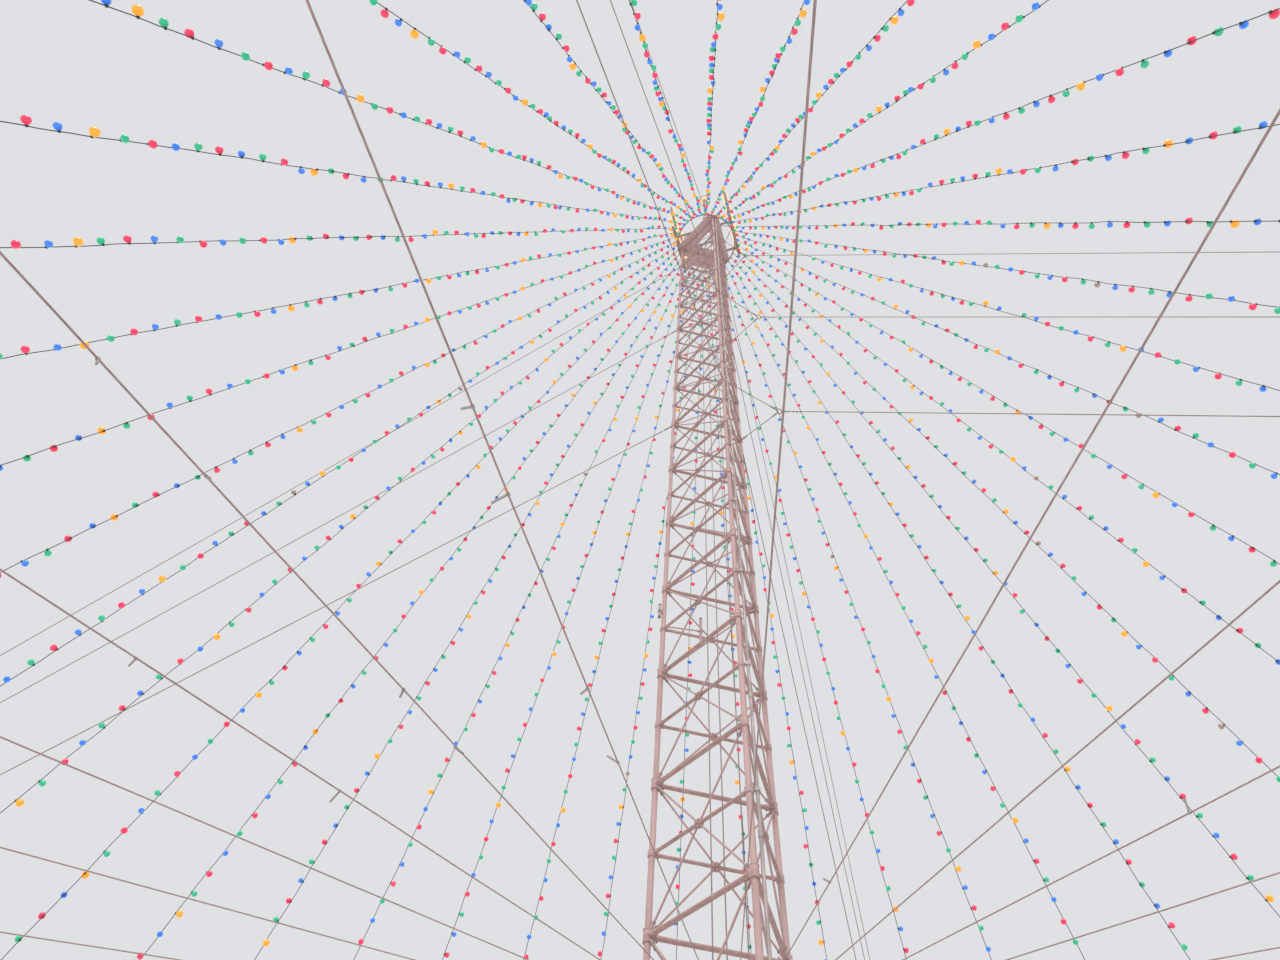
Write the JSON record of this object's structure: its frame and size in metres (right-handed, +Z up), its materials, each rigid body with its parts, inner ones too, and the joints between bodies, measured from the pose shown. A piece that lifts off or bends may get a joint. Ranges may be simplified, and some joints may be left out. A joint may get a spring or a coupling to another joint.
{
  "type": "guyed lattice mast with lamp strings, 1:2 scale model",
  "caption": "Slim three-sided steel lattice mast on wire stays, with twin open stars at its head and strings of coloured lamps fanned down to ground stakes.",
  "frame": {"origin": "on the mast axis, at the underside of the plinth", "axes": "+Z up the mast; the four guy lines run out along +X, -X, +Y and -Y; leg a stands towards -X, legs b and c at 60 degrees either side of +X"},
  "size_m": [38.8, 38.8, 23.832],
  "materials": {
    "concrete": "cast concrete, matt",
    "leg_paint": "pale weathered paint",
    "brace_paint": "pale weathered paint",
    "galvanised": "galvanised steel",
    "wire_rope": "stranded wire rope",
    "ring_paint": "weathered grey paint",
    "lamp_cable": "dark green cable sheath",
    "star_frame": "white paint",
    "beacon": "white lamp dish"
  },
  "bodies": {
    "root": {"base_plinth": "concrete", "base_plate": "galvanised", "leg_a_lower": "leg_paint", "leg_a_upper": "leg_paint", "leg_b_lower": "leg_paint", "leg_b_upper": "leg_paint", "leg_c_lower": "leg_paint", "leg_c_upper": "leg_paint", "struts_ab": "brace_paint", "struts_bc": "brace_paint", "struts_ca": "brace_paint", "bracing_ab_lower": "brace_paint", "bracing_ab_upper": "brace_paint", "bracing_bc_lower": "brace_paint", "bracing_bc_upper": "brace_paint", "bracing_ca_lower": "brace_paint", "bracing_ca_upper": "brace_paint", "conduit": "galvanised", "rope_anchor": "galvanised", "hoist_ropes": "wire_rope", "hoist_beam": "galvanised", "aerial_arms": "leg_paint", "tether_ring": "ring_paint", "guy_rings": "ring_paint", "string_ring": "ring_paint", "head_deck": "ring_paint", "star_carriage": "ring_paint", "star_east": "star_frame", "star_west": "star_frame", "head_frame": "leg_paint", "head_pole": "leg_paint", "head_beacon": "beacon", "light_strings_a": "lamp_cable", "light_strings_b": "lamp_cable", "light_strings_c": "lamp_cable", "tethers_a": "wire_rope", "tethers_b": "wire_rope", "tethers_c": "wire_rope", "ground_stakes": "galvanised", "guys_east": "wire_rope", "guys_north": "wire_rope", "guys_west": "wire_rope", "guys_south": "wire_rope", "anchor_blocks": "concrete", "anchor_posts": "galvanised"}
  },
  "joints": []
}
